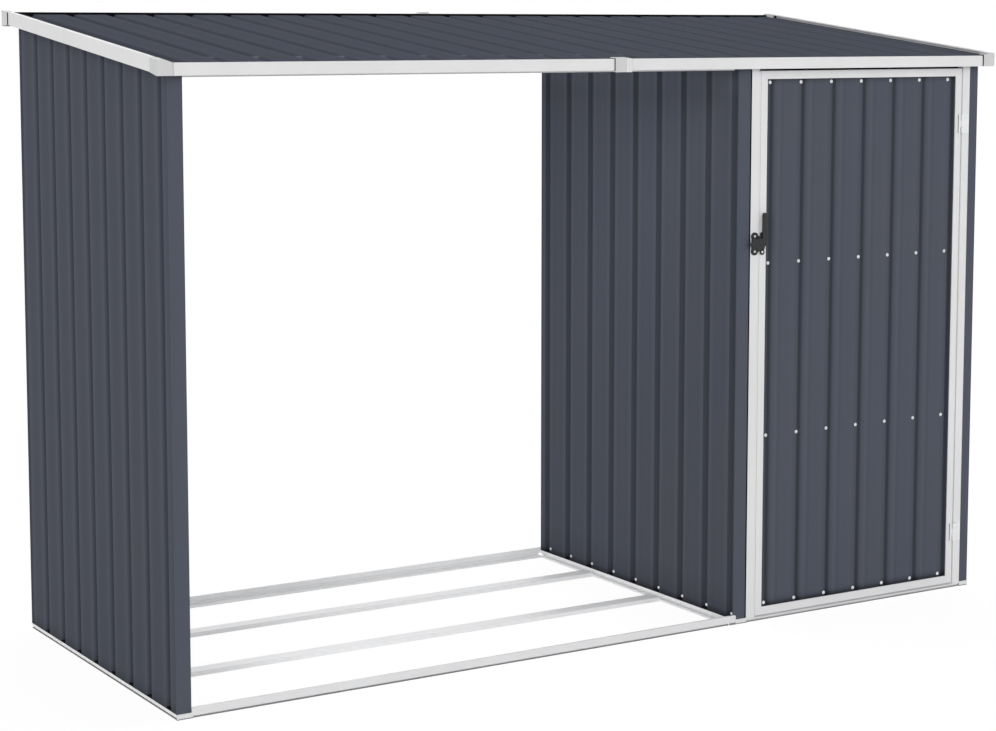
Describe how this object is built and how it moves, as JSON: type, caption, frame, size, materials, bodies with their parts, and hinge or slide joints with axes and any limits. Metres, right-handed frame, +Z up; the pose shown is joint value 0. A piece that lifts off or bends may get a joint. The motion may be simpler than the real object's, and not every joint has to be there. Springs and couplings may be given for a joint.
{
  "type": "log store",
  "caption": "Sheet-steel log store with an open bay, a closed tool locker with a hinged door, and one sloping corrugated roof.",
  "frame": {"origin": "middle of the footprint of the whole object, on the floor", "axes": "+X along the front from the bay to the locker, +Y to the back, +Z up"},
  "size_m": [2.45, 0.98, 1.5885],
  "materials": {
    "steel_dark": "anthracite paint, satin",
    "steel_light": "light grey paint, satin",
    "cap_grey": "moulded grey plastic",
    "latch_black": "moulded black plastic"
  },
  "bodies": {
    "store": {"left_rail": "steel_light", "bay_front_rail": "steel_light", "bay_floor_rails": "steel_light", "bay_back_rail": "steel_light", "bay_side_rail": "steel_light", "partition_rail": "steel_light", "right_rail": "steel_light", "locker_back_rail": "steel_light", "locker_sill": "steel_light", "door_jambs": "steel_light", "bay_header": "steel_light", "locker_header": "steel_light", "bay_back_header": "steel_light", "locker_back_header": "steel_light", "top_rails": "steel_light", "front_trims": "steel_light", "back_trims": "steel_light", "side_trims": "steel_light", "hinge_frame_leaves": "steel_light", "left_wall": "steel_dark", "partition_wall": "steel_dark", "right_wall": "steel_dark", "back_wall": "steel_dark", "left_posts": "steel_dark", "partition_posts": "steel_dark", "right_posts": "steel_dark", "roof_sheet_left": "steel_dark", "roof_sheet_right": "steel_dark", "corner_caps": "cap_grey", "trim_connectors": "cap_grey", "latch_keeper": "latch_black"},
    "door": {"door_stiles": "steel_light", "door_rails": "steel_light", "door_inner_rails": "steel_light", "door_panel": "steel_dark", "hinge_door_leaves": "steel_light", "latch_base": "latch_black"},
    "lever": {"latch_lever": "latch_black"}
  },
  "joints": [
    {"name": "door_hinge", "type": "hinge", "parent": "store", "child": "door", "pos_m": [1.1345, -0.469, 0.72], "axis": [0, 0, 1], "range_deg": [0, 150]},
    {"name": "latch_turn", "type": "hinge", "parent": "door", "child": "lever", "pos_m": [0.4525, -0.478, 0.993], "axis": [0, 1, 0], "range_deg": [0, 90]}
  ]
}
